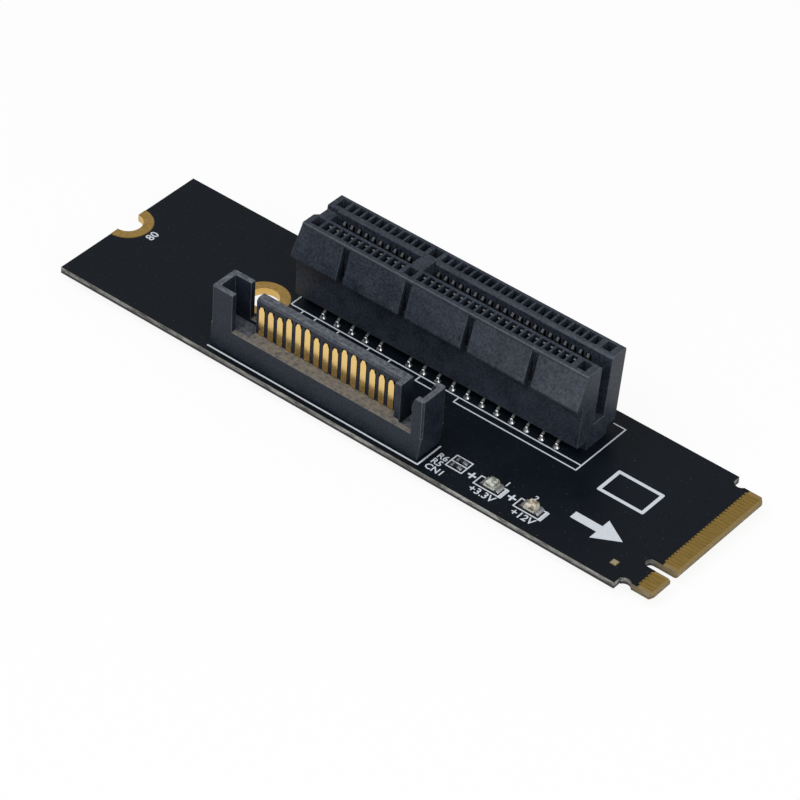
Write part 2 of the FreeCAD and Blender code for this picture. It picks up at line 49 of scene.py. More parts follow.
WAVE_BAND = math.pi / 10            # length of one band of a wave pattern at scale 1
CLOTH_LAYER = 0.13                  # mm, drawn somewhat coarser than real cloth so that it shows
FRAY = 0.3                          # mm, torn fibre ends along the routed edge
FRAY_DEPTH = 0.03
TEAR = 0.45                         # mm, drawn coarse so that it shows
TEAR_STRETCH = (0.35, 1.0, 1.0)     # the router tears along the card
EDGE_RUN = 6.0                      # mm, the length over which the router tore more or less
PALE_FROM, PALE_TO = 0.26, 0.4      # mm above the under face, where the edge turns from its painted shadow at the foot to pale
BARE_FROM, BARE_TO = 36.6, 38.2     # mm along the card, where the black film ends and the edge turns tan
COLOUR_MIX = {"data_type": "RGBA"}
FACTOR, COLOUR_A, COLOUR_B, COLOUR_OUT = 0, 6, 7, 2     # sockets of a node that mixes colours
VALUE_MIX = {"data_type": "FLOAT"}
VALUE_A, VALUE_B, VALUE_OUT = 2, 3, 0                   # sockets of a node that mixes values
board_low, board_high = (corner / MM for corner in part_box("circuit_board"))


def linear(code):
    """An sRGB hex colour as the linear values that a shader takes."""
    parts = [int(code[i:i + 2], 16) / 255 for i in (1, 3, 5)]
    return [c / 12.92 if c <= 0.04045 else ((c + 0.055) / 1.055) ** 2.4 for c in parts] + [1.0]


def add_node(tree, kind, settings=None, inputs=None):
    """Adds one shader node, with its settings, its plain values and its links."""
    made = tree.nodes.new("ShaderNode" + kind)
    for key, value in (settings or {}).items():
        setattr(made, key, value)
    for key, value in (inputs or {}).items():
        if isinstance(value, bpy.types.NodeSocket):
            tree.links.new(value, made.inputs[key])
        else:
            made.inputs[key].default_value = value
    return made


def start_material(name, values):
    """A new material with the shader's own values set: its tree, its shader and its object coordinates."""
    material = bpy.data.materials.new(name)
    material.use_nodes = True
    tree = material.node_tree
    shader = tree.nodes["Principled BSDF"]
    for key, value in values.items():
        shader.inputs[key].default_value = value
    place = add_node(tree, "TexCoord").outputs["Object"]
    return material, tree, shader, place


def dress(tree, shader, looks):
    """Links the patterns of a finish to the shader's sockets."""
    for socket, pattern in looks.items():
        tree.links.new(pattern, shader.inputs[socket])


def coat_node(node, material):
    """Gives a CAD node its finish."""
    nodes[node].material_slots[0].material = material


laminate, tree, shader, place = start_material("glass_epoxy_laminate", {"IOR": 1.55, "Roughness": 0.72})
point = add_node(tree, "SeparateXYZ", {}, {0: place}).outputs
facing = add_node(tree, "SeparateXYZ", {}, {0: add_node(tree, "NewGeometry").outputs["Normal"]}).outputs
cloth = add_node(tree, "TexWave", {"bands_direction": "Z"},
                 {"Vector": place, "Scale": WAVE_BAND * PER_MM / CLOTH_LAYER, "Distortion": 2.5,
                  "Detail": 3.0, "Detail Scale": 3.0}).outputs["Fac"]
fray = add_node(tree, "TexNoise", {}, {"Vector": place, "Scale": PER_MM / FRAY, "Detail": 4.0}).outputs["Fac"]
along = add_node(tree, "Mapping", {}, {"Vector": place, "Scale": TEAR_STRETCH}).outputs["Vector"]
tears = add_node(tree, "TexNoise", {}, {"Vector": along, "Scale": PER_MM / TEAR,
                                        "Detail": 3.0}).outputs["Fac"]
streaks = add_node(tree, "Mix", VALUE_MIX, {FACTOR: 0.8, VALUE_A: cloth, VALUE_B: tears}).outputs[VALUE_OUT]
ragged = add_node(tree, "MapRange", {}, {"Value": streaks, "From Min": 0.42, "From Max": 0.58, "To Min": 0.1})
run = add_node(tree, "TexNoise", {}, {"Vector": place, "Scale": PER_MM / EDGE_RUN, "Detail": 2.0})
torn_more = add_node(tree, "MapRange", {}, {"Value": run.outputs["Fac"], "From Min": 0.35, "From Max": 0.6,
                                            "To Min": 0.5})
# Painted shadow: the routed edge is dark from its foot up to PALE_FROM, as the shade under it.
clear_of_painted_shadow = add_node(tree, "MapRange", {}, {"Value": point["Z"], "From Min": (board_low.z + PALE_FROM) * MM,
                                       "From Max": (board_low.z + PALE_TO) * MM})
pale = ragged.outputs["Result"]
for part in (torn_more, clear_of_painted_shadow):
    pale = add_node(tree, "Math", {"operation": "MULTIPLY"},
                    {0: pale, 1: part.outputs["Result"]}).outputs["Value"]
routed = add_node(tree, "Mix", COLOUR_MIX,
                  {FACTOR: pale, COLOUR_A: linear("#1c1d1c"), COLOUR_B: linear("#b0b2ad")})
resin = add_node(tree, "Mix", COLOUR_MIX,
                 {FACTOR: fray, COLOUR_A: linear("#6d5a30"), COLOUR_B: linear("#8f7946")})
level = add_node(tree, "Math", {"operation": "ABSOLUTE"}, {0: facing["Z"]}).outputs["Value"]
flat = add_node(tree, "MapRange", {}, {"Value": level, "From Min": 0.4, "From Max": 0.8}).outputs["Result"]
tip = add_node(tree, "MapRange", {}, {"Value": point["X"], "From Min": BARE_FROM * MM,
                                      "From Max": BARE_TO * MM, "To Max": 0.7}).outputs["Result"]
bare = add_node(tree, "Math", {"operation": "MAXIMUM"}, {0: flat, 1: tip}).outputs["Value"]
tone = add_node(tree, "Mix", COLOUR_MIX, {FACTOR: bare, COLOUR_A: routed.outputs[COLOUR_OUT],
                                          COLOUR_B: resin.outputs[COLOUR_OUT]})
frayed = add_node(tree, "Bump", {}, {"Strength": 0.5, "Distance": FRAY_DEPTH * MM, "Height": fray})
dress(tree, shader, {"Base Color": tone.outputs[COLOUR_OUT], "Normal": frayed.outputs["Normal"]})
coat_node("circuit_board", laminate)


# The solder mask. It is a black lacquer film on both faces, printed and cured, cleared round every bare
# pad and kept back from the routed edge. It has a low gloss, faint smears and a few specks of dust.
MASK = 0.025                        # mm, drawn at the thickness of a heavy coat
RIM = 0.02                          # mm, bare laminate along the edge
PAD_MARGIN = 0.08
FINGER_OPENING = 1.9                # mm from the tip
TONGUE_STEP = 4.0
TONGUE_HALF = 9.925
RELIEF_R = 0.75
RELIEF_Y = 10.325
KEY_Y = -6.125
KEY_HALF = 0.6
KEY_DEPTH = 3.5
MID_HOLE_X = -20.0
PAD_R = 2.85
CUT_SPARE = 1.0                     # mm that a cutter stands past what it cuts
SMEAR = 5.0
SPECK = 0.16                        # mm, dust drawn coarser than it is so that it shows
RIPPLE_DEPTH = 0.02
TIP_X, END_X = board_high.x, board_low.x


def only(piece):
    """Selects one object alone and makes it the active one."""
    bpy.ops.object.select_all(action="DESELECT")
    piece.select_set(True)
    bpy.context.view_layer.objects.active = piece


def settled(name):
    """Names the object that an operator has just made and puts its place into its mesh."""
    piece = bpy.context.object
    only(piece)
    bpy.ops.object.transform_apply(location=True, rotation=True, scale=True)
    piece.name = name
    piece.data.name = name
    return piece


def block(name, x0, x1, y0, y1, z0, z1):
    """A box between two corners, in millimetres."""
    bpy.ops.object.select_all(action="DESELECT")
    centre = ((x0 + x1) / 2 * MM, (y0 + y1) / 2 * MM, (z0 + z1) / 2 * MM)
    bpy.ops.mesh.primitive_cube_add(size=1, location=centre,
                                    scale=((x1 - x0) * MM, (y1 - y0) * MM, (z1 - z0) * MM))
    return settled(name)


def disc(name, x, y, radius, z0, z1, sides=48, fill="NGON"):
    """An upright cylinder, in millimetres."""
    bpy.ops.object.select_all(action="DESELECT")
    bpy.ops.mesh.primitive_cylinder_add(vertices=sides, radius=radius * MM, depth=(z1 - z0) * MM,
                                        end_fill_type=fill, location=(x * MM, y * MM, (z0 + z1) / 2 * MM))
    return settled(name)


def joined(pieces, name):
    """Several objects made one."""
    only(pieces[0])
    for piece in pieces[1:]:
        piece.select_set(True)
    if len(pieces) > 1:
        bpy.ops.object.join()
    pieces[0].name = name
    pieces[0].data.name = name
    return pieces[0]


def modify(piece, kind, values):
    """Adds a modifier, sets it and applies it."""
    only(piece)
    modifier = piece.modifiers.new(kind.lower(), kind)
    for key, value in values.items():
        setattr(modifier, key, value)
    bpy.ops.object.modifier_apply(modifier=modifier.name)


def combine(piece, other, operation):
    """Cuts one object out of a piece, or makes it part of the piece, and removes it."""
    modify(piece, "BOOLEAN", {"object": other, "operation": operation, "solver": "EXACT", "use_self": True})
    bpy.data.objects.remove(other)


def fix(piece, material):
    """Gives a new piece its finish and fixes it to the card."""
    piece.data.materials.clear()
    piece.data.materials.append(material)
    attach(piece, "root")


def mask_film(name, z0, z1, fiducial):
    """One face's film, with the openings that the artwork leaves in it."""
    low, high = z0 - CUT_SPARE, z1 + CUT_SPARE
    film = block(name, END_X + RIM, TIP_X - FINGER_OPENING, board_low.y + RIM, board_high.y - RIM, z0, z1)
    cutters = [disc("cut", x, 0, PAD_R + PAD_MARGIN, low, high) for x in (END_X, MID_HOLE_X)]
    shoulder = TIP_X - TONGUE_STEP
    beyond_tip = TIP_X + CUT_SPARE
    for side in (-1, 1):
        y0, y1 = sorted((side * (TONGUE_HALF - RIM), side * (board_high.y + CUT_SPARE)))
        cutters.append(block("cut", shoulder - RIM, beyond_tip, y0, y1, low, high))
        cutters.append(disc("cut", shoulder + RELIEF_R, side * RELIEF_Y, RELIEF_R + RIM, low, high))
    key_end = TIP_X - KEY_DEPTH + KEY_HALF
    key_reach = KEY_HALF + RIM
    cutters.append(disc("cut", key_end, KEY_Y, key_reach, low, high))
    cutters.append(block("cut", key_end, beyond_tip, KEY_Y - key_reach, KEY_Y + key_reach, low, high))
    if fiducial:
        pad_low, pad_high = (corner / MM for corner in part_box("fiducial_pad"))
        cutters.append(block("cut", pad_low.x - PAD_MARGIN, pad_high.x + PAD_MARGIN,
                             pad_low.y - PAD_MARGIN, pad_high.y + PAD_MARGIN, low, high))
    combine(film, joined(cutters, "cutter"), "DIFFERENCE")
    return film


mask, tree, shader, place = start_material("black_solder_mask", {"IOR": 1.5, "Specular IOR Level": 0.16})
smear = add_node(tree, "TexNoise", {}, {"Vector": place, "Scale": PER_MM / SMEAR, "Detail": 5.0,
                                        "Roughness": 0.6}).outputs["Fac"]
speck = add_node(tree, "TexNoise", {}, {"Vector": place, "Scale": PER_MM / SPECK,
                                        "Detail": 1.0}).outputs["Fac"]
gloss = add_node(tree, "MapRange", {}, {"Value": smear, "From Min": 0.3, "From Max": 0.7,
                                        "To Min": 0.34, "To Max": 0.52})
dust = add_node(tree, "MapRange", {}, {"Value": speck, "From Min": 0.74, "From Max": 0.8, "To Max": 0.3})
lacquer = add_node(tree, "Mix", COLOUR_MIX,
                   {FACTOR: smear, COLOUR_A: linear("#080d14"), COLOUR_B: linear("#0d151d")})
dusty = add_node(tree, "Mix", COLOUR_MIX,
                 {FACTOR: dust.outputs["Result"], COLOUR_A: lacquer.outputs[COLOUR_OUT],
                  COLOUR_B: linear("#8a8c90")})
ripple = add_node(tree, "Bump", {}, {"Strength": 0.12, "Distance": RIPPLE_DEPTH * MM, "Height": speck})
dress(tree, shader, {"Base Color": dusty.outputs[COLOUR_OUT], "Roughness": gloss.outputs["Result"],
                     "Normal": ripple.outputs["Normal"]})

fix(mask_film("mask_film_top", board_high.z, board_high.z + MASK, True), mask)
fix(mask_film("mask_film_bottom", board_low.z - MASK, board_low.z, False), mask)


# The bare pads. They are copper with nickel and a thin skin of gold over it: the edge fingers, the rings
# round the two screw places with the plated film down their holes, and the placing square.
HOLE_R = 1.745
LINING = 0.03
LINING_SIDES = 64
PAD_THICK = 0.05
PLATING_GRAIN = 0.35
PIT_DEPTH = 0.02
INSERTION_STREAK = 0.12             # mm between the scrape marks that a socket leaves along a finger
SMOOTH_ANGLE = math.radians(30)


def plated(name, dark, light):
    """Gold on nickel, satin and a little uneven from the fine pits of a plating bath."""
    material, tree, shader, place = start_material(name, {"Metallic": 1.0})
    grain = add_node(tree, "TexNoise", {}, {"Vector": place, "Scale": PER_MM / PLATING_GRAIN,
                                            "Detail": 5.0}).outputs["Fac"]
    tone = add_node(tree, "Mix", COLOUR_MIX, {FACTOR: grain, COLOUR_A: linear(dark), COLOUR_B: linear(light)})
    shine = add_node(tree, "MapRange", {}, {"Value": grain, "From Min": 0.3, "From Max": 0.7,
                                            "To Min": 0.24, "To Max": 0.42})
    pitted = add_node(tree, "Bump", {}, {"Strength": 0.25, "Distance": PIT_DEPTH * MM, "Height": grain})
    dress(tree, shader, {"Base Color": tone.outputs[COLOUR_OUT], "Roughness": shine.outputs["Result"],
                         "Normal": pitted.outputs["Normal"]})
    return material


def streaked(name, dark, light, streak, stretch, smooth, dull):
    """Metal with fine streaks along it, left by rubbing, rolling or polish. A pale streak is duller."""
    material, tree, shader, place = start_material(name, {"Metallic": 1.0})
    along = add_node(tree, "Mapping", {}, {"Vector": place, "Scale": stretch}).outputs["Vector"]
    marks = add_node(tree, "TexNoise", {}, {"Vector": along, "Scale": PER_MM / streak,
                                            "Detail": 3.0}).outputs["Fac"]
    tone = add_node(tree, "Mix", COLOUR_MIX, {FACTOR: marks, COLOUR_A: linear(dark), COLOUR_B: linear(light)})
    shine = add_node(tree, "MapRange", {}, {"Value": marks, "From Min": 0.3, "From Max": 0.7,
                                            "To Min": smooth, "To Max": dull})
    dress(tree, shader, {"Base Color": tone.outputs[COLOUR_OUT], "Roughness": shine.outputs["Result"]})
    return material


def hole_lining(name, x):
    """The plated film down a screw hole, flush with the rings on both faces."""
    low, high = board_low.z - PAD_THICK, board_high.z + PAD_THICK
    tube = disc(name, x, 0, HOLE_R, low, high, LINING_SIDES, "NOTHING")
    modify(tube, "SOLIDIFY", {"thickness": LINING * MM, "offset": -1.0})
    bpy.ops.object.shade_smooth_by_angle(angle=SMOOTH_ANGLE)
    return tube


# The rings are warm and satin, the placing square is thinner and paler, and the fingers are scraped dull.
ring_gold = plated("immersion_gold", "#b98d42", "#e8c67c")
pad_gold = plated("thin_immersion_gold", "#cfbf9a", "#efe4c8")
finger_gold = streaked("worn_finger_gold", "#987c3c", "#c8a658", INSERTION_STREAK,
                       stretch=(0.08, 1.0, 1.0), smooth=0.34, dull=0.5)
for node in ("end_notch_pads", "mid_hole_pads"):
    coat_node(node, ring_gold)
coat_node("fiducial_pad", pad_gold)
for node in ("edge_fingers_top", "edge_fingers_bottom"):
    coat_node(node, finger_gold)

fix(hole_lining("mid_hole_lining", MID_HOLE_X), ring_gold)
notch_lining = hole_lining("end_notch_lining", END_X)
bpy.ops.object.mode_set(mode="EDIT")
bpy.ops.mesh.select_all(action="SELECT")
bpy.ops.mesh.bisect(plane_co=(END_X * MM, 0, 0), plane_no=(1, 0, 0), use_fill=True, clear_inner=True)
bpy.ops.object.mode_set(mode="OBJECT")
fix(notch_lining, ring_gold)


# The print on the board. It is white epoxy ink pushed through a screen: the outlines of the slot and the
# plug, frames round the chip parts, polarity and voltage marks, an insertion arrow and a blank panel.
# It dries matt and slightly grey where the screen laid it thin. All places are in millimetres.
INK = 0.014
INK_Z0 = board_high.z + MASK
INK_GRAIN = 0.12
INK_DEPTH = 0.01
LINE = 0.16
PLUG_LINE = 0.2
PLUS_LINE = 0.24
BAR_LINE = 0.26
PANEL_LINE = 0.42
LINE_END = 0.42                     # share of a line's width that its ends are rounded by
CAP_HEIGHT = 0.7                    # height of a figure at a type size of 1
INK_SPREAD = 0.02                   # mm that ink spreads round a figure
OUTLINE_LEFT, OUTLINE_RIGHT = -17.14, 22.62
OUTLINE_LEFT_END, OUTLINE_RIGHT_END = 2.82, 8.98
OUTLINE_HOOK = 21.06
FRONT_LINE = 0.22
TAIL_LINE = 1.18
TICK_FOOT = 0.72
TICKS = (-15.36, -13.5, -10.27, -6.03, -3.1)
STEP_LEFT, STEP_RIGHT = (1.01, 4.6), 6.25
PLUG_OUTLINE = [(-19.24, -10.28), (9.78, -10.28), (9.78, -6.43)]
RESISTOR_LEFT, RESISTOR_RIGHT = 11.97, 14.07
RESISTOR_FRONT, RESISTOR_MIDDLE, RESISTOR_BACK = -8.31, -7.3, -6.3
LAMP_FRAMES = ((15.9, 19.45), (21.15, 24.7))
LAMP_FRONT, LAMP_BACK = -8.62, -7.14
BAR_INSET = 0.25
PLUS_PLACES = ((15.1, -7.8), (20.35, -7.75))
PLUS_HALF = 0.42
FIGURES = [("+3.3V", 17.6, -9.42, 0.95), ("+12V", 22.95, -9.4, 0.95),
           ("1", 18.75, -6.4, 0.75), ("2", 22.3, -6.2, 0.75), ("80", -36.25, -0.1, 1.05, 90),
           ("R6", 11.08, -7.62, 0.85), ("R5", 11.08, -8.66, 0.85), ("CN1", 11.6, -9.74, 0.85)]
ARROW_HEAD_X, ARROW_Y = 31.0, -5.5
ARROW_HEAD_R = 2.0
ARROW_SHAFT = (26.6, 30.0)
ARROW_SHAFT_HALF = 0.55
BLANK_PANEL = (26.2, 31.8, -0.5, 3.1)

ink, tree, shader, place = start_material("white_epoxy_ink", {"IOR": 1.5, "Roughness": 0.62})
cover = add_node(tree, "TexNoise", {}, {"Vector": place, "Scale": PER_MM / INK_GRAIN,
                                        "Detail": 3.0}).outputs["Fac"]
tone = add_node(tree, "Mix", COLOUR_MIX,
                {FACTOR: cover, COLOUR_A: linear("#b4bbc4"), COLOUR_B: linear("#dde2e8")})
uneven = add_node(tree, "Bump", {}, {"Strength": 0.3, "Distance": INK_DEPTH * MM, "Height": cover})
dress(tree, shader, {"Base Color": tone.outputs[COLOUR_OUT], "Normal": uneven.outputs["Normal"]})


def stroke(x0, y0, x1, y1, width=LINE):
    """One printed line with the rounded ends that a screen leaves."""
    length = math.hypot(x1 - x0, y1 - y0) + width
    bar = block("stroke", -length / 2, length / 2, -width / 2, width / 2, 0, INK)
    mesh = bar.data
    for part in (mesh.polygons, mesh.vertices):
        part.foreach_set("select", [False] * len(part))
    for edge in mesh.edges:
        a, b = (mesh.vertices[i].co for i in edge.vertices)
        edge.select = abs(a.z - b.z) > INK * MM / 2
    bpy.ops.object.mode_set(mode="EDIT")
    bpy.ops.mesh.select_mode(type="EDGE")
    bpy.ops.mesh.bevel(offset=width * LINE_END * MM, segments=3, affect="EDGES")
    bpy.ops.object.mode_set(mode="OBJECT")
    turn = Matrix.Rotation(math.atan2(y1 - y0, x1 - x0), 4, "Z")
    mesh.transform(Matrix.Translation(((x0 + x1) / 2 * MM, (y0 + y1) / 2 * MM, INK_Z0 * MM)) @ turn)
    return bar


def united(strokes, name):
    """Printed strokes made one flat shape where they cross."""
    piece = joined(strokes[1:], name)
    combine(piece, strokes[0], "UNION")
    return piece


def line_run(points, width=LINE):
    """A run of strokes from point to point."""
    return [stroke(*a, *b, width) for a, b in zip(points, points[1:])]


def frame_lines(x0, x1, y0, y1, width=LINE):
    """A printed frame round a part."""
    return line_run([(x0, y0), (x1, y0), (x1, y1), (x0, y1), (x0, y0)], width)


def printed_text(text, x, y, height, turn=0):
    """Plain figures, set flat on the film and made a mesh."""
    bpy.ops.object.select_all(action="DESELECT")
    bpy.ops.object.text_add()
    label = bpy.context.object
    label.data.body = text
    label.data.size = height * MM / CAP_HEIGHT
    label.data.offset = INK_SPREAD * MM
    label.data.extrude = INK * MM / 2
    label.data.resolution_u = 2
    label.data.align_x = "CENTER"
    label.data.align_y = "CENTER"
    bpy.ops.object.convert(target="MESH")
    label = bpy.context.object
    label.rotation_euler = (0, 0, math.radians(turn))
    label.location = (x * MM, y * MM, (INK_Z0 + INK / 2) * MM)
    return settled("figures")


slot_print = line_run([(OUTLINE_LEFT, OUTLINE_LEFT_END), (OUTLINE_LEFT, TAIL_LINE),
                       (OUTLINE_RIGHT, TAIL_LINE)])
slot_print += [stroke(x, TAIL_LINE, x, TICK_FOOT) for x in TICKS]
slot_print += line_run([(STEP_LEFT[0], TAIL_LINE), (STEP_LEFT[0], FRONT_LINE), (STEP_LEFT[1], FRONT_LINE)])
slot_print += line_run([(STEP_RIGHT, TAIL_LINE), (STEP_RIGHT, FRONT_LINE), (OUTLINE_RIGHT, FRONT_LINE),
                        (OUTLINE_RIGHT, OUTLINE_RIGHT_END), (OUTLINE_HOOK, OUTLINE_RIGHT_END)])
fix(united(slot_print, "print_slot_outline"), ink)
fix(united(line_run(PLUG_OUTLINE, PLUG_LINE), "print_plug_outline"), ink)

chip_print = frame_lines(RESISTOR_LEFT, RESISTOR_RIGHT, RESISTOR_FRONT, RESISTOR_BACK)
chip_print.append(stroke(RESISTOR_LEFT, RESISTOR_MIDDLE, RESISTOR_RIGHT, RESISTOR_MIDDLE))
for left, right in LAMP_FRAMES:
    chip_print += frame_lines(left, right, LAMP_FRONT, LAMP_BACK)
    chip_print.append(stroke(right - BAR_INSET, LAMP_FRONT, right - BAR_INSET, LAMP_BACK, BAR_LINE))
fix(united(chip_print, "print_chip_frames"), ink)

marks = []
for x, y in PLUS_PLACES:
    across = stroke(x - PLUS_HALF, y, x + PLUS_HALF, y, PLUS_LINE)
    marks.append(united([across, stroke(x, y - PLUS_HALF, x, y + PLUS_HALF, PLUS_LINE)], "plus"))
marks += [printed_text(*figure) for figure in FIGURES]
fix(joined(marks, "print_marks"), ink)

bpy.ops.object.select_all(action="DESELECT")
bpy.ops.mesh.primitive_cylinder_add(vertices=3, radius=ARROW_HEAD_R * MM, depth=INK * MM,
                                    rotation=(0, 0, math.radians(-90)),
                                    location=(ARROW_HEAD_X * MM, ARROW_Y * MM, (INK_Z0 + INK / 2) * MM))
arrow_head = settled("arrow_head")
arrow_shaft = block("arrow_shaft", *ARROW_SHAFT, ARROW_Y - ARROW_SHAFT_HALF, ARROW_Y + ARROW_SHAFT_HALF,
                    INK_Z0, INK_Z0 + INK)
fix(united([arrow_head, arrow_shaft], "print_insertion_arrow"), ink)
fix(united(frame_lines(*BLANK_PANEL, PANEL_LINE), "print_blank_panel"), ink)


# The expansion slot's housing. It is moulded in black glass-filled nylon and stands on small feet, with its
# pegs through the board. The tool leaves a fine matt skin, slightly rounded edges and faint flow marks.
SKIN_GRAIN = 0.07                   # mm, drawn a little coarser than the tool's spark finish
SKIN_DEPTH = 0.012
FLOW = 2.2
MOTTLE = 0.26                       # mm, the uneven skin where the glass fibres come up
HANDLING_DUST = 0.5
PAINTED_LIGHT_GREY = "#7d8187"                   # painted light: the paler grey that lit faces of the nylon are given, in patches
PAINTED_LIGHT_FROM, PAINTED_LIGHT_TO = -8.0, 22.0   # mm along the card: painted light, the slot paler towards its open end, as lit from that side
LIT_LEAN_FROM, LIT_LEAN_TO = 0.1, 0.25      # upward lean of a face: faces that lean up get the painted light, upright walls and grooves stay dark as in shade
EDGE_WEAR_AND_HIGHLIGHT = "#73787f"               # the paler grey of an edge: partly wear, partly a painted highlight where it catches the light
SLOT_EDGE = 0.06
ABOVE_SLOT = 20.0                   # mm, well clear of the slot
SLOT_Y = 5.2
CELL_BAND = 2.95                    # mm to each side of the slot's middle, where the cells are
CELLS_X0, CELLS_X1 = -15.9, 21.5
WELD = 0.001                        # mm, corners closer than this are one
FLAT_ANGLE = math.radians(0.5)
SHARP_ANGLE = math.radians(30)
SOFT_ANGLE = math.radians(40)


def moulded(name, dark, light, painted_light_along, top_painted_light, dust_colour, dust_share, dust_from, dust_to):
    """Black moulded plastic with a matt, mottled skin and flow marks.

    Painted light greys the faces that lean up, in patches, the more along the card, and tops more or less
    than them.
    Sharp edges are pale, partly worn and partly a painted highlight. Dust lies on what faces up between two
    heights.
    """
    material, tree, shader, place = start_material(name, {"IOR": 1.53, "Specular IOR Level": 0.2})
    point = add_node(tree, "SeparateXYZ", {}, {0: place}).outputs
    facing = add_node(tree, "SeparateXYZ", {}, {0: add_node(tree, "NewGeometry").outputs["Normal"]}).outputs
    skin = add_node(tree, "TexNoise", {}, {"Vector": place, "Scale": PER_MM / SKIN_GRAIN, "Detail": 2.0})
    flow = add_node(tree, "TexNoise", {}, {"Vector": place, "Scale": PER_MM / FLOW, "Detail": 6.0,
                                           "Roughness": 0.65}).outputs["Fac"]
    mottle = add_node(tree, "TexNoise", {}, {"Vector": place, "Scale": PER_MM / MOTTLE, "Detail": 4.0})
    lint = add_node(tree, "TexNoise", {}, {"Vector": place, "Scale": PER_MM / HANDLING_DUST, "Detail": 6.0,
                                           "Roughness": 0.75}).outputs["Fac"]

    marks = add_node(tree, "Mix", VALUE_MIX, {FACTOR: 0.6, VALUE_A: flow, VALUE_B: mottle.outputs["Fac"]})
    spread = add_node(tree, "MapRange", {}, {"Value": marks.outputs[VALUE_OUT], "From Min": 0.38,
                                             "From Max": 0.62}).outputs["Result"]
    tone = add_node(tree, "Mix", COLOUR_MIX,
                    {FACTOR: spread, COLOUR_A: linear(dark), COLOUR_B: linear(light)})

    # Painted light: a paler grey in patches on faces that lean up, more towards the open end, where light
    # falls from that side.
    along = add_node(tree, "MapRange", {}, {"Value": point["X"], "From Min": PAINTED_LIGHT_FROM * MM,
                                            "From Max": PAINTED_LIGHT_TO * MM, "To Max": painted_light_along}).outputs["Result"]
    upward = add_node(tree, "MapRange", {}, {"Value": facing["Z"], "From Min": 0.5,
                                             "From Max": 1.0}).outputs["Result"]
    leaning = add_node(tree, "MapRange", {}, {"Value": facing["Z"], "From Min": LIT_LEAN_FROM,
                                              "From Max": LIT_LEAN_TO}).outputs["Result"]
    side = add_node(tree, "Math", {"operation": "MULTIPLY"}, {0: along, 1: leaning}).outputs["Value"]
    reach = add_node(tree, "Math", {"operation": "MULTIPLY_ADD"}, {0: upward, 1: top_painted_light, 2: side})
    patches = add_node(tree, "MapRange", {}, {"Value": lint, "From Min": 0.3, "From Max": 0.7})
    painted_light_share = add_node(tree, "Math", {"operation": "MULTIPLY"},
                      {0: reach.outputs["Value"], 1: patches.outputs["Result"]}).outputs["Value"]
    painted_light_tone = add_node(tree, "Mix", COLOUR_MIX, {FACTOR: painted_light_share, COLOUR_A: tone.outputs[COLOUR_OUT],
                                                 COLOUR_B: linear(PAINTED_LIGHT_GREY)})

    # Partly wear, partly a painted highlight: the rounded edges are paler in patches, as where they catch the
    # light.
    edges = add_node(tree, "Attribute", {"attribute_name": "wear"}).outputs["Fac"]
    patchy = add_node(tree, "Math", {"operation": "MULTIPLY"}, {0: edges, 1: lint}).outputs["Value"]
    worn_and_highlit = add_node(tree, "Mix", COLOUR_MIX, {FACTOR: patchy, COLOUR_A: painted_light_tone.outputs[COLOUR_OUT],
                                              COLOUR_B: linear(EDGE_WEAR_AND_HIGHLIGHT)})

    over = add_node(tree, "Math", {"operation": "GREATER_THAN"}, {0: point["Z"], 1: dust_from * MM})
    under = add_node(tree, "Math", {"operation": "LESS_THAN"}, {0: point["Z"], 1: dust_to * MM})
    lies = add_node(tree, "MapRange", {}, {"Value": lint, "From Min": 0.35, "From Max": 0.65,
                                           "To Min": dust_share * 0.1, "To Max": dust_share})
    dust = upward
    for share in (over.outputs["Value"], under.outputs["Value"], lies.outputs["Result"]):
        dust = add_node(tree, "Math", {"operation": "MULTIPLY"}, {0: dust, 1: share}).outputs["Value"]
    dusty = add_node(tree, "Mix", COLOUR_MIX, {FACTOR: dust, COLOUR_A: worn_and_highlit.outputs[COLOUR_OUT],
                                               COLOUR_B: linear(dust_colour)})

    matt = add_node(tree, "MapRange", {}, {"Value": flow, "From Min": 0.3, "From Max": 0.7,
                                           "To Min": 0.42, "To Max": 0.58})
    grain = add_node(tree, "Bump", {}, {"Strength": 0.35, "Distance": SKIN_DEPTH * MM,
                                        "Height": skin.outputs["Fac"]})
    dress(tree, shader, {"Base Color": dusty.outputs[COLOUR_OUT], "Roughness": matt.outputs["Result"],
                         "Normal": grain.outputs["Normal"]})
    return material


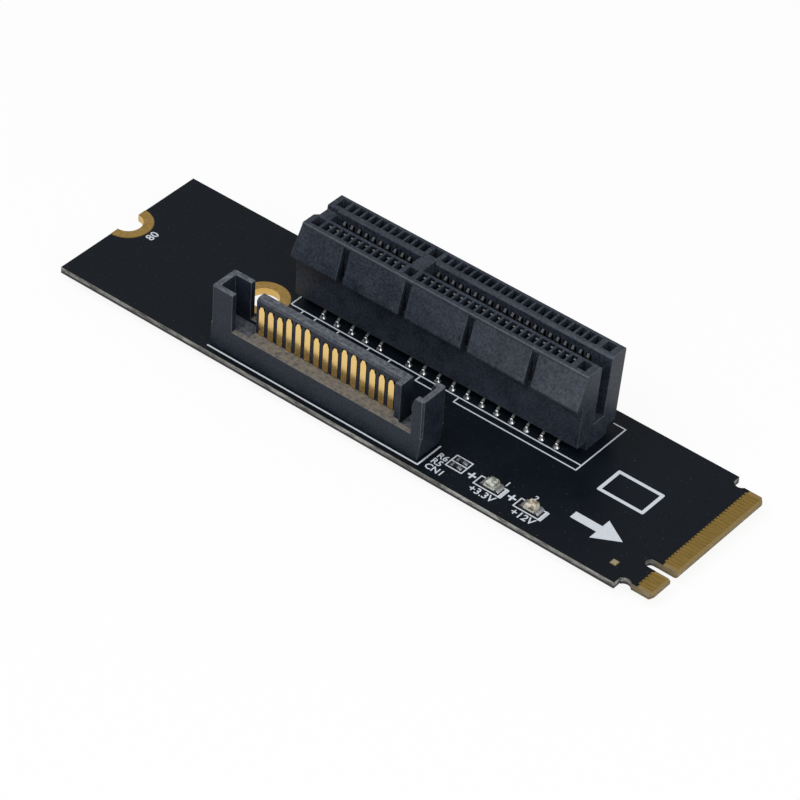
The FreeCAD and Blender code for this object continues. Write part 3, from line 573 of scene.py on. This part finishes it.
def softened(node, name, radius, segments=2, spared=None):
    """A copy of a CAD solid with its loose triangles joined up and its sharp edges rounded.

    Spared edges stay sharp. The bevel's faces take a second material slot for a moment, which tells them
    from the flat ones, and the attribute "wear" keeps that for the pale edges of the finish.
    """
    piece = bpy.data.objects.new(name, nodes[node].data.copy())
    mesh = piece.data
    mesh.name = name
    bpy.context.scene.collection.objects.link(piece)
    only(piece)
    bpy.ops.mesh.customdata_custom_splitnormals_clear()
    bpy.ops.object.mode_set(mode="EDIT")
    bpy.ops.mesh.select_all(action="SELECT")
    bpy.ops.mesh.remove_doubles(threshold=WELD * MM)
    bpy.ops.mesh.dissolve_limited(angle_limit=FLAT_ANGLE)
    bpy.ops.mesh.select_mode(type="EDGE")
    bpy.ops.mesh.select_all(action="DESELECT")
    bpy.ops.mesh.edges_select_sharp(sharpness=SHARP_ANGLE)
    bpy.ops.object.mode_set(mode="OBJECT")
    chosen = [edge.index for edge in mesh.edges if edge.select]
    for part in (mesh.vertices, mesh.edges, mesh.polygons):
        part.foreach_set("select", [False] * len(part))
    for index in chosen:
        a, b = (mesh.vertices[i].co for i in mesh.edges[index].vertices)
        mesh.edges[index].select = not (spared and spared((a + b) / 2 / MM))
    mesh.materials.append(None)
    bpy.ops.object.mode_set(mode="EDIT")
    bpy.ops.mesh.bevel(offset=radius * MM, segments=segments, affect="EDGES", clamp_overlap=False, material=1)
    bpy.ops.object.mode_set(mode="OBJECT")
    flat = {corner for polygon in mesh.polygons if polygon.material_index == 0 for corner in polygon.vertices}
    wear = mesh.attributes.new("wear", "FLOAT", "POINT")
    wear.data.foreach_set("value", [0.0 if i in flat else 1.0 for i in range(len(mesh.vertices))])
    bpy.ops.object.shade_smooth_by_angle(angle=SOFT_ANGLE)
    modify(piece, "WEIGHTED_NORMAL", {"keep_sharp": True})
    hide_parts(node)
    return piece


def in_cells(point):
    """Whether an edge of the slot belongs to its windows, cells or card slot, which stay crisp."""
    return abs(point.y - SLOT_Y) < CELL_BAND and CELLS_X0 < point.x < CELLS_X1


# The slot's painted light grows towards its open end and on faces that lean up, and is a little less on its
# tops.
slot_nylon = moulded("glass_filled_nylon", "#191f2a", "#3a404c", painted_light_along=0.36, top_painted_light=-0.26,
                     dust_colour="#787a7c", dust_share=0.05, dust_from=0.0, dust_to=ABOVE_SLOT)
fix(softened("slot_housing", "slot_moulding", SLOT_EDGE, spared=in_cells), slot_nylon)


# The slot's contacts. They are stamped from phosphor bronze strip and tinned, pressed into the housing from
# below. Each stands in its own window, its tin painted dark as shade, with rolling lines; its tail goes
# through the board.
STAMPING = 0.06                     # mm, draw lines from the rolled strip
SLOT_ROWS = ["slot_contacts_front_outer", "slot_contacts_front_inner",
             "slot_contacts_back_outer", "slot_contacts_back_inner"]

# Painted shade: the tin is drawn dark grey, far darker than bright tin, as the shade down in the windows.
shade_darkened_tin = streaked("shade_darkened_tinned_bronze", "#424347", "#77787b", STAMPING,
                  stretch=(1.0, 1.0, 0.1), smooth=0.5, dull=0.64)
for node in SLOT_ROWS:
    coat_node(node, shade_darkened_tin)


# The drive power plug. Its housing is moulded in the same kind of black nylon and pegged to the board, with
# two guide towers and a tongue, and tan dust on its shelf. The gold-plated blades lie along the front of the
# tongue, bright and finely polished along their length.
PLUG_EDGE = 0.065
SHELF_DUST_FROM, SHELF_DUST_TO = 4.7, 6.0   # mm up, round the shelf's own height
BLADE_EDGE = 0.035
BLADE_GRAIN = 0.05                  # mm between polish lines
BLADE_ROW_X0, BLADE_ROW_X1 = -14.3, 4.8
BLADE_ROW_Y = -8.1
BLADE_CELL_HALF = 0.3
BLADE_CELL_TOP = 9.35


def in_blade_cells(point):
    """Whether an edge of the plug belongs to the cells that the blades lie in, which stay crisp."""
    beside = abs(point.y - BLADE_ROW_Y) < BLADE_CELL_HALF and point.z < BLADE_CELL_TOP
    return beside and BLADE_ROW_X0 < point.x < BLADE_ROW_X1


# The plug's up-facing faces take painted light, paler as lit from above.
plug_nylon = moulded("matt_black_nylon", "#121823", "#29303c", painted_light_along=0.0, top_painted_light=0.8,
                     dust_colour="#7f7564", dust_share=0.8, dust_from=SHELF_DUST_FROM, dust_to=SHELF_DUST_TO)
fix(softened("plug_housing", "plug_moulding", PLUG_EDGE, spared=in_blade_cells), plug_nylon)

blade_gold = streaked("plated_gold", "#dcb262", "#f5d896", BLADE_GRAIN,
                      stretch=(1.0, 1.0, 0.12), smooth=0.18, dull=0.32)
fix(softened("plug_contacts", "plug_blades", BLADE_EDGE), blade_gold)


# The chip parts by the front edge: two resistors, glazed black ceramic with tinned ends, and two indicator
# lamps, a white base with a clear resin lens cast on it and tinned ends. They are soldered flat to the board.
CHIP_EDGE = 0.03
LENS_EDGE = 0.09
LENS_STEPS = 3
CLOUD = 0.2
DIE = 0.4
TIN_GRAIN = 0.1
TIN_DEPTH = 0.02


def clouded(name, values, dark, light):
    """A fired or pressed body whose colour is faintly clouded."""
    material, tree, shader, place = start_material(name, values)
    cloud = add_node(tree, "TexNoise", {}, {"Vector": place, "Scale": PER_MM / CLOUD,
                                            "Detail": 3.0}).outputs["Fac"]
    tone = add_node(tree, "Mix", COLOUR_MIX, {FACTOR: cloud, COLOUR_A: linear(dark), COLOUR_B: linear(light)})
    dress(tree, shader, {"Base Color": tone.outputs[COLOUR_OUT]})
    return material


def cast_resin(name, dark, light):
    """Clear resin over a lamp's die and wire, which show through it as light and dark patches."""
    material, tree, shader, place = start_material(name, {"IOR": 1.5, "Roughness": 0.12,
                                                          "Transmission Weight": 0.25})
    die = add_node(tree, "TexNoise", {}, {"Vector": place, "Scale": PER_MM / DIE,
                                          "Detail": 2.0}).outputs["Fac"]
    seen = add_node(tree, "MapRange", {}, {"Value": die, "From Min": 0.38, "From Max": 0.6}).outputs["Result"]
    tone = add_node(tree, "Mix", COLOUR_MIX, {FACTOR: seen, COLOUR_A: linear(dark), COLOUR_B: linear(light)})
    dress(tree, shader, {"Base Color": tone.outputs[COLOUR_OUT]})
    return material


# The ceramic's glaze is glossy, and the lamp's base is a half-matt warm white.
glaze = clouded("glazed_ceramic", {"IOR": 1.55, "Roughness": 0.3}, "#0c0c0e", "#1e1f22")
lamp_white = clouded("white_lamp_laminate", {"IOR": 1.5, "Roughness": 0.5}, "#b9bcae", "#e6e8dc")

# Tin that has melted and set is bright, with a slight orange peel.
tin, tree, shader, place = start_material("bright_tin_solder", {"Metallic": 1.0})
frost = add_node(tree, "TexNoise", {}, {"Vector": place, "Scale": PER_MM / TIN_GRAIN,
                                        "Detail": 4.0}).outputs["Fac"]
tone = add_node(tree, "Mix", COLOUR_MIX,
                {FACTOR: frost, COLOUR_A: linear("#aaacaf"), COLOUR_B: linear("#e4e5e8")})
shine = add_node(tree, "MapRange", {}, {"Value": frost, "From Min": 0.3, "From Max": 0.7,
                                        "To Min": 0.22, "To Max": 0.42})
peel = add_node(tree, "Bump", {}, {"Strength": 0.3, "Distance": TIN_DEPTH * MM, "Height": frost})
dress(tree, shader, {"Base Color": tone.outputs[COLOUR_OUT], "Roughness": shine.outputs["Result"],
                     "Normal": peel.outputs["Normal"]})

LENSES = {"1": cast_resin("clear_lamp_resin", "#7d8473", "#e9ece2"),
          "2": cast_resin("amber_lamp_resin", "#877c66", "#efe6d3")}
for number, resin in LENSES.items():
    ceramic = softened(f"resistor_{number}_body", f"resistor_{number}_ceramic", CHIP_EDGE)
    fix(ceramic, glaze)
    lens = softened(f"indicator_{number}_lens", f"indicator_{number}_resin", LENS_EDGE, LENS_STEPS)
    fix(lens, resin)
    coat_node(f"indicator_{number}_base", lamp_white)
    coat_node(f"resistor_{number}_caps", tin)
    coat_node(f"indicator_{number}_ends", tin)


# The solder. It is tin alloy that wetted the pads and climbed the metal: a cone round every tail below the
# board and round the slot's outer tails above it, and a fillet at each end of the chip parts.
CONE_SIDES = 10
CONE_R_ABOVE, CONE_ABOVE = 0.42, 0.62
CONE_R_BELOW, CONE_BELOW = 0.5, 0.72
# Each ring of a cone, as shares of its height and of its radius.
CONE_RINGS = ((0.14, 0.92), (0.3, 0.72), (0.5, 0.58), (0.82, 0.48), (1.0, 0.36))
FOOT_BAND = 0.01                    # mm, how near the lowest corner a tail's foot is looked for
FILLET_RUN = 0.24
FILLET_TOE = 0.2                    # height left at the fillet's toe, as a share of the whole
FILLET_EDGE = 0.05
FILLET_HEIGHTS = {"resistor_1_caps": 0.75, "resistor_2_caps": 0.75,     # shares of the chip's own height
                  "indicator_1_ends": 0.9, "indicator_2_ends": 0.9}


def tail_feet(node):
    """The middle of each tail's foot in a row of contacts, in millimetres, read from the solid."""
    corners = [v.co / MM for v in nodes[node].data.vertices]
    low = min(c.z for c in corners)
    feet = [c for c in corners if c.z < low + FOOT_BAND]
    sides = sorted({round(c.x, 3) for c in feet})
    y = (min(c.y for c in feet) + max(c.y for c in feet)) / 2
    return [((a + b) / 2, y) for a, b in zip(sides[::2], sides[1::2])]


def solder_cone(base, z0, height):
    """A cone with the hollow flank that wetting gives, at the origin: each ring is drawn in from the last."""
    bpy.ops.object.select_all(action="DESELECT")
    bpy.ops.mesh.primitive_circle_add(vertices=CONE_SIDES, radius=base * MM, fill_type="NGON",
                                      location=(0, 0, z0 * MM))
    cone = settled("cone")
    bpy.ops.object.mode_set(mode="EDIT")
    bpy.ops.mesh.select_all(action="SELECT")
    level = z0
    radius = base
    for share, drawn_in in CONE_RINGS:
        step = z0 + share * height - level
        bpy.ops.mesh.extrude_region_move(TRANSFORM_OT_translate={"value": (0, 0, step * MM)})
        level += step
        shrink = base * drawn_in / radius
        bpy.ops.transform.resize(value=(shrink, shrink, 1), center_override=(0, 0, level * MM))
        radius = base * drawn_in
    bpy.ops.mesh.select_all(action="SELECT")
    bpy.ops.mesh.normals_make_consistent(inside=False)
    bpy.ops.object.mode_set(mode="OBJECT")
    bpy.ops.object.shade_smooth()
    return cone


def repeat(piece, places, name):
    """Copies of a piece, each with its own mesh, at some places in the board's plane."""
    copies = []
    for x, y in places:
        copy = bpy.data.objects.new(name, piece.data.copy())
        copy.data.transform(Matrix.Translation((x * MM, y * MM, 0)))
        bpy.context.scene.collection.objects.link(copy)
        copies.append(copy)
    bpy.data.objects.remove(piece)
    return joined(copies, name)


def fillet(x, y, width, height, towards):
    """The wedge of solder from a chip part's end down to its pad."""
    toe = x + towards * FILLET_RUN
    x0, x1 = sorted((x, toe))
    wedge = block("fillet", x0, x1, y - width / 2, y + width / 2, board_high.z, board_high.z + height)
    for vertex in wedge.data.vertices:
        above = vertex.co.z > (board_high.z + height / 2) * MM
        if above and abs(vertex.co.x - toe * MM) < FILLET_RUN * MM / 2:
            vertex.co.z = (board_high.z + height * FILLET_TOE) * MM
    modify(wedge, "BEVEL", {"width": FILLET_EDGE * MM, "segments": 2, "limit_method": "ANGLE",
                            "angle_limit": SHARP_ANGLE})
    bpy.ops.object.shade_smooth()
    return wedge


outer_feet = tail_feet("slot_contacts_front_outer") + tail_feet("slot_contacts_back_outer")
slot_feet = [foot for node in SLOT_ROWS for foot in tail_feet(node)]
plug_feet = tail_feet("plug_contacts")
cones = repeat(solder_cone(CONE_R_ABOVE, board_high.z, CONE_ABOVE), outer_feet, "solder_above")
fix(cones, tin)
for feet, name in ((slot_feet, "solder_below_slot"), (plug_feet, "solder_below_plug")):
    cones = repeat(solder_cone(CONE_R_BELOW, board_low.z, -CONE_BELOW), feet, name)
    fix(cones, tin)

fillets = []
for node, share in FILLET_HEIGHTS.items():
    low, high = (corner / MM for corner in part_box(node))
    for x, towards in ((low.x, -1), (high.x, 1)):
        fillets.append(fillet(x, (low.y + high.y) / 2, high.y - low.y, (high.z - low.z) * share, towards))
fix(joined(fillets, "solder_chip_ends"), tin)


# The studio: a plain white floor under large soft lamps, and a long lens that looks down on the finger end.
# The floor and the world look white to the camera, and the floor keeps a part of the card's real shadow.
FLOOR_SIZE = 4.0                    # m
FLOOR_DROP = 0.02                   # mm below the lowest tails
FLOOR_SHADE = 0.15                  # how much of the real shadow shows on the floor
FLOOR_GLOW = 1.06
WORLD_LIGHT, WORLD_SEEN = 0.4, 1.0
LAMPS = {"lamp_above": ((-0.1, -0.26, 0.53), 0.5, 2.2),         # place in m, size in m, watts
         "lamp_right": ((0.35, -0.12, 0.22), 0.25, 0.65)}
CAMERA_PLACE = (198.97, -268.71, 279.59)
CAMERA_TURN = (0.850681, 0.405084, 0.119256, 0.313092)
LENS = 182.73
SENSOR = 36.0
CLIP_START = 0.01

bpy.ops.object.select_all(action="DESELECT")
bpy.ops.mesh.primitive_plane_add(size=FLOOR_SIZE, location=(0, 0, -FLOOR_DROP * MM))
floor = settled("studio_floor")
white, tree, shader, place = start_material("white_studio_floor", {"Base Color": linear("#c8c8c8"),
                                                                   "Roughness": 0.9})
ray = add_node(tree, "LightPath").outputs
seen = ray["Is Camera Ray"]
for kind in ("Is Glossy Ray", "Is Transmission Ray"):
    seen = add_node(tree, "Math", {"operation": "MAXIMUM"}, {0: seen, 1: ray[kind]}).outputs["Value"]
lit = add_node(tree, "Math", {"operation": "MULTIPLY"}, {0: seen, 1: 1.0 - FLOOR_SHADE})
glow = add_node(tree, "Emission", {}, {"Color": linear("#ffffff"), "Strength": FLOOR_GLOW})
both = add_node(tree, "MixShader", {}, {0: lit.outputs["Value"], 1: shader.outputs["BSDF"],
                                        2: glow.outputs["Emission"]})
tree.links.new(both.outputs["Shader"], tree.nodes["Material Output"].inputs["Surface"])
floor.data.materials.append(white)

world = bpy.data.worlds.new("studio")
world.use_nodes = True
bpy.context.scene.world = world
tree = world.node_tree
seen = add_node(tree, "LightPath").outputs["Is Camera Ray"]
level = add_node(tree, "MapRange", {}, {"Value": seen, "To Min": WORLD_LIGHT, "To Max": WORLD_SEEN})
tree.links.new(level.outputs["Result"], tree.nodes["Background"].inputs["Strength"])
tree.nodes["Background"].inputs["Color"].default_value = linear("#ffffff")

for name, (spot, size, watts) in LAMPS.items():
    bpy.ops.object.light_add(type="AREA", location=spot)
    lamp = bpy.context.object
    lamp.name = name
    lamp.data.size = size
    lamp.data.energy = watts
    lamp.rotation_mode = "QUATERNION"
    lamp.rotation_quaternion = (-Vector(spot)).to_track_quat("-Z", "Y")

bpy.ops.object.camera_add(location=[c * MM for c in CAMERA_PLACE])
camera = bpy.context.object
camera.rotation_mode = "QUATERNION"
camera.rotation_quaternion = Quaternion(CAMERA_TURN)
camera.data.lens = LENS
camera.data.sensor_width = SENSOR
camera.data.clip_start = CLIP_START
bpy.context.scene.camera = camera
bpy.context.scene.view_settings.view_transform = "Standard"
